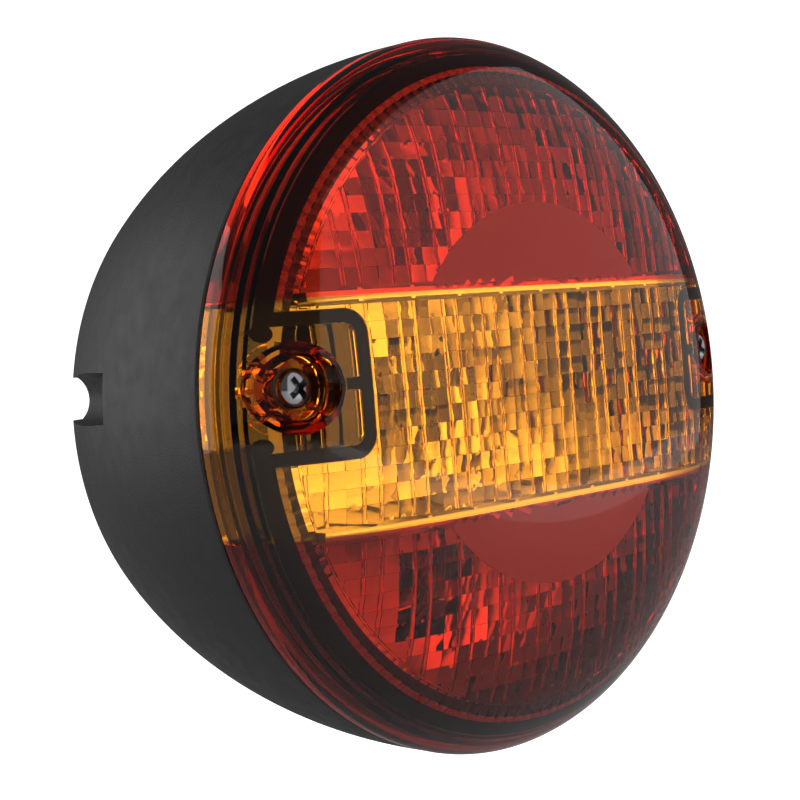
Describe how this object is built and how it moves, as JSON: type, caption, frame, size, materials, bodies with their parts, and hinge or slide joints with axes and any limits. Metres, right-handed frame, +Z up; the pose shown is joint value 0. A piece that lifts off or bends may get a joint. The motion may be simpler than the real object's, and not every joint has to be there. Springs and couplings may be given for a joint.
{
  "type": "trailer tail light",
  "caption": "Round surface-mounted rear lamp: black bowl housing, domed red, amber and red lens on two screws, bayonet bulbs behind it.",
  "frame": {"origin": "centre of the rear mounting face", "axes": "the lens looks along -Y, +Z is up, +X is to the right seen from the front"},
  "size_m": [0.139, 0.0969, 0.1389],
  "materials": {
    "housing_plastic": "fine grained, black",
    "gasket_rubber": "matte black",
    "lens_red": "clear red, polished",
    "lens_amber": "clear amber, polished",
    "plated_steel": "bright plated",
    "seal_rubber": "matte black",
    "metallised_plastic": "bright metallised coat",
    "divider_plastic": "metallised, satin",
    "carrier_plastic": "off-white",
    "brass": "stamped",
    "insulator_board": "brown laminated board",
    "spring_steel": "drawn wire",
    "bulb_cap_metal": "nickel-plated",
    "bulb_glass": "clear blown glass",
    "filament": "drawn tungsten and nickel wire"
  },
  "bodies": {
    "base": {"housing": "housing_plastic", "gasket": "gasket_rubber", "reflector": "metallised_plastic", "reflector_screws": "plated_steel", "divider_upper": "divider_plastic", "divider_lower": "divider_plastic", "holder_base_plate": "carrier_plastic", "carrier_screws": "plated_steel", "earth_busbar": "brass", "terminal_block": "carrier_plastic", "terminal_screws": "brass", "mounting_bolts": "plated_steel", "bolt_seals": "seal_rubber", "cable_grommet": "gasket_rubber", "feed_strip_stop": "brass", "holder_shell_stop": "plated_steel", "holder_insulator_stop": "insulator_board", "plunger_spring_stop": "spring_steel", "feed_strip_indicator": "brass", "holder_shell_indicator": "plated_steel", "holder_insulator_indicator": "insulator_board", "plunger_spring_indicator": "spring_steel", "feed_strip_tail": "brass", "holder_shell_tail": "plated_steel", "holder_insulator_tail": "insulator_board", "plunger_spring_tail": "spring_steel"},
    "lens": {"lens_red_upper": "lens_red", "lens_amber_band": "lens_amber", "lens_red_lower": "lens_red"},
    "seal_left": {"screw_seal_left": "seal_rubber"},
    "screw_left": {"lens_screw_left": "plated_steel"},
    "seal_right": {"screw_seal_right": "seal_rubber"},
    "screw_right": {"lens_screw_right": "plated_steel"},
    "plunger_stop": {"plunger_stop": "insulator_board", "plunger_contact_stop": "brass"},
    "bulb_stop": {"bulb_cap_stop": "bulb_cap_metal", "bulb_glass_stop": "bulb_glass", "bulb_filament_stop": "filament"},
    "plunger_indicator": {"plunger_indicator": "insulator_board", "plunger_contact_indicator": "brass"},
    "bulb_indicator": {"bulb_cap_indicator": "bulb_cap_metal", "bulb_glass_indicator": "bulb_glass", "bulb_filament_indicator": "filament"},
    "plunger_tail": {"plunger_tail": "insulator_board", "plunger_contact_tail": "brass"},
    "bulb_tail": {"bulb_cap_tail": "bulb_cap_metal", "bulb_glass_tail": "bulb_glass", "bulb_filament_tail": "filament"}
  },
  "joints": [
    {"name": "lens_lift_off", "type": "slide", "parent": "base", "child": "lens", "axis": [0, -1, 0], "range_m": [0, 0.045]},
    {"name": "screw_draw_left", "type": "slide", "parent": "lens", "child": "seal_left", "axis": [0, -1, 0], "range_m": [0, 0.022]},
    {"name": "screw_turn_left", "type": "hinge", "parent": "seal_left", "child": "screw_left", "pos_m": [-0.057, -0.072, 0.00525], "axis": [0, -1, 0], "range_deg": [0, 5658.1]},
    {"name": "screw_draw_right", "type": "slide", "parent": "lens", "child": "seal_right", "axis": [0, -1, 0], "range_m": [0, 0.022]},
    {"name": "screw_turn_right", "type": "hinge", "parent": "seal_right", "child": "screw_right", "pos_m": [0.057, -0.072, 0.00525], "axis": [0, -1, 0], "range_deg": [0, 5658.1]},
    {"name": "bulb_push_stop", "type": "slide", "parent": "base", "child": "plunger_stop", "axis": [0, 1, 0], "range_m": [0, 0.0025], "stiffness_N_per_m": 2400, "springref_m": -0.003, "deforming": ["plunger_spring_stop"]},
    {"name": "bulb_twist_stop", "type": "hinge", "parent": "plunger_stop", "child": "bulb_stop", "pos_m": [0, -0.02, 0.0385], "axis": [0, -1, 0], "range_deg": [0, 30]},
    {"name": "bulb_push_indicator", "type": "slide", "parent": "base", "child": "plunger_indicator", "axis": [0, 1, 0], "range_m": [0, 0.0025], "stiffness_N_per_m": 2400, "springref_m": -0.003, "deforming": ["plunger_spring_indicator"]},
    {"name": "bulb_twist_indicator", "type": "hinge", "parent": "plunger_indicator", "child": "bulb_indicator", "pos_m": [0, -0.02, 0], "axis": [0, -1, 0], "range_deg": [0, 30]},
    {"name": "bulb_push_tail", "type": "slide", "parent": "base", "child": "plunger_tail", "axis": [0, 1, 0], "range_m": [0, 0.0025], "stiffness_N_per_m": 2400, "springref_m": -0.003, "deforming": ["plunger_spring_tail"]},
    {"name": "bulb_twist_tail", "type": "hinge", "parent": "plunger_tail", "child": "bulb_tail", "pos_m": [0, -0.02, -0.0385], "axis": [0, -1, 0], "range_deg": [0, 30]}
  ],
  "couplings": [
    {"joint": "screw_turn_left", "follows": "screw_draw_left", "rad_per_m": 4488},
    {"joint": "screw_turn_right", "follows": "screw_draw_right", "rad_per_m": 4488}
  ]
}
